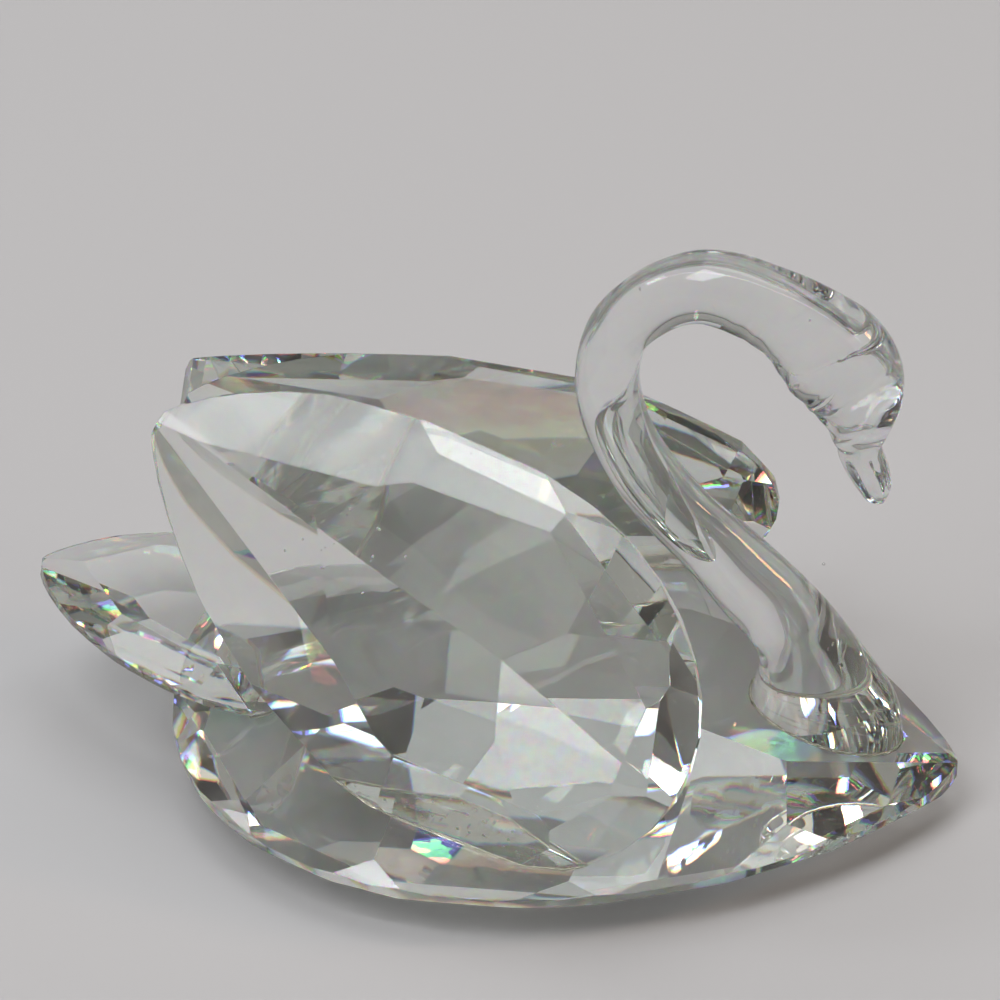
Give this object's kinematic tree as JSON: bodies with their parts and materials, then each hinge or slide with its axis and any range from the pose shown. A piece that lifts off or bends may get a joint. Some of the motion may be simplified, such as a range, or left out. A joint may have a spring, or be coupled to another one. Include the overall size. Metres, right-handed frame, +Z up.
{
  "type": "swan figurine",
  "caption": "Small clear-crystal swan ornament: a faceted pear-shaped body with faceted wings and tail bonded on, and a smooth curved neck with a pinched beak.",
  "frame": {"origin": "middle of the footprint, on the surface the swan stands on", "axes": "+X towards the beak, +Y towards the swan's left wing, +Z up"},
  "size_m": [0.0766, 0.049, 0.0501],
  "materials": {
    "cut_crystal": "ground and polished to flat, sharp-edged facets",
    "flame_worked_crystal": "fire-polished, smooth and slightly rippled"
  },
  "bodies": {
    "root": {"body": "cut_crystal", "wing_left": "cut_crystal", "wing_right": "cut_crystal", "tail": "cut_crystal", "neck": "flame_worked_crystal"}
  },
  "joints": []
}
